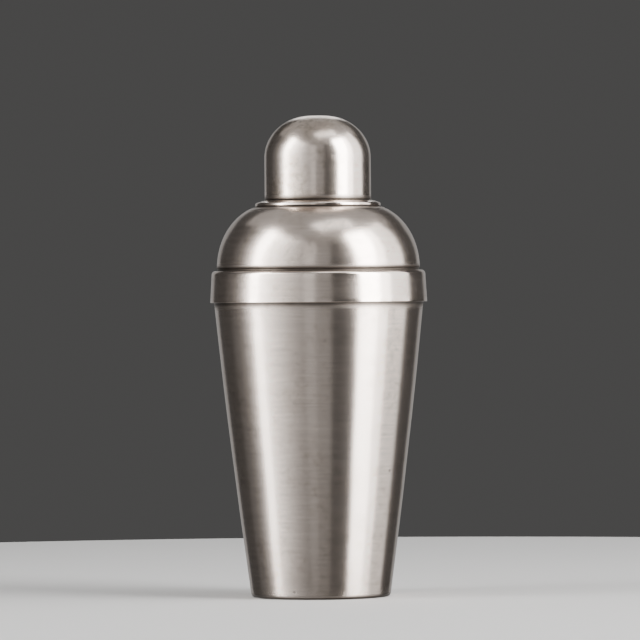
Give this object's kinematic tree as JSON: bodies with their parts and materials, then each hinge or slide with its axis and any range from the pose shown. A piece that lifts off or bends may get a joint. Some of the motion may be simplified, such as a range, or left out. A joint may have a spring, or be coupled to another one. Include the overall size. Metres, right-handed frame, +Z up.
{
  "type": "cocktail shaker",
  "caption": "Brushed metal cocktail shaker: a tapered tumbler, a domed lid with a collar band and a neck strainer, and a domed cap that lifts off as the measure.",
  "frame": {"origin": "centre of the foot, on the surface that the shaker stands on", "axes": "+Z up along the axis that every piece is turned about, from the foot to the top of the cap"},
  "size_m": [0.0948, 0.0948, 0.21],
  "materials": {
    "brushed_plate": "warm grey silver plate, brushed round, aged, with small pits",
    "satin_steel": "satin metal of the inner fittings, a little duller than the outside"
  },
  "bodies": {
    "tumbler": {"tumbler_wall": "brushed_plate", "tumbler_base": "satin_steel"},
    "lid": {"lid_shell": "brushed_plate", "collar_band": "brushed_plate", "neck_tube": "satin_steel", "neck_ring": "brushed_plate", "strainer_plate": "satin_steel"},
    "cap": {"cap_shell": "brushed_plate", "cap_bezel": "satin_steel"}
  },
  "joints": [
    {"name": "lid_lift", "type": "slide", "parent": "tumbler", "child": "lid", "axis": [0, 0, 1], "range_m": [0, 0.06]},
    {"name": "cap_lift", "type": "slide", "parent": "lid", "child": "cap", "axis": [0, 0, 1], "range_m": [0, 0.045]}
  ]
}
